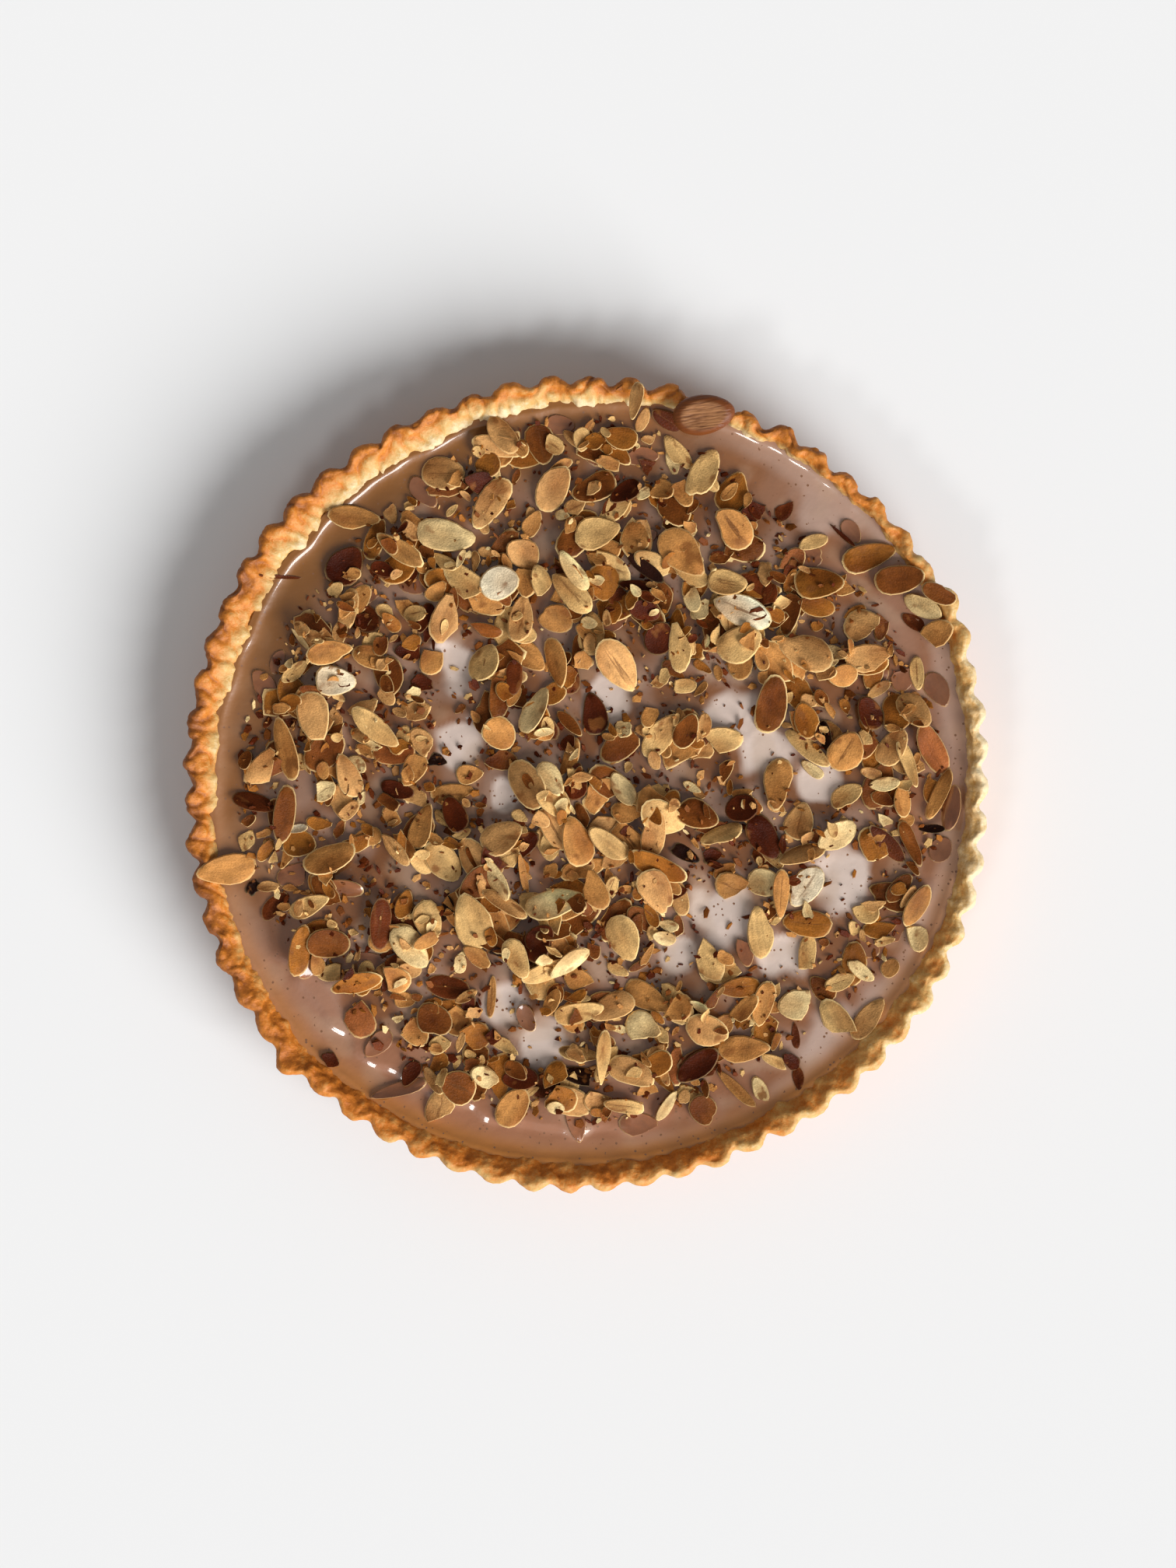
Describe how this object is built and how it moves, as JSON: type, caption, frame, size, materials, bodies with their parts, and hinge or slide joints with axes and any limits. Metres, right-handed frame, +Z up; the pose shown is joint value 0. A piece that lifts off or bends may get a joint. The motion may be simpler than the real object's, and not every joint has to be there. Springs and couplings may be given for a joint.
{
  "type": "frangipane tart",
  "caption": "Whole round frangipane tart in a fluted pastry case, iced on top and strewn with toasted flaked almonds.",
  "frame": {"origin": "middle of the flat underside", "axes": "+Z up, out of the icing; +Y is the side of the tart that is at the top of the picture, +X its right side"},
  "size_m": [0.2716, 0.2769, 0.0334],
  "materials": {
    "pastry": "baked shortcrust pastry, golden with browned edges, crumbly, a little shine from butter",
    "filling": "baked almond sponge, golden tan, fine open crumb",
    "icing": "thin glossy water icing, whitish where thick and pinkish brown where it has soaked in",
    "almond": "toasted flaked almonds, cream to dark brown, with pale cut edges and thin brown skins"
  },
  "bodies": {
    "root": {"pastry_case": "pastry", "frangipane": "filling", "icing_with_almonds": "icing", "rim_almond": "almond"}
  },
  "joints": []
}
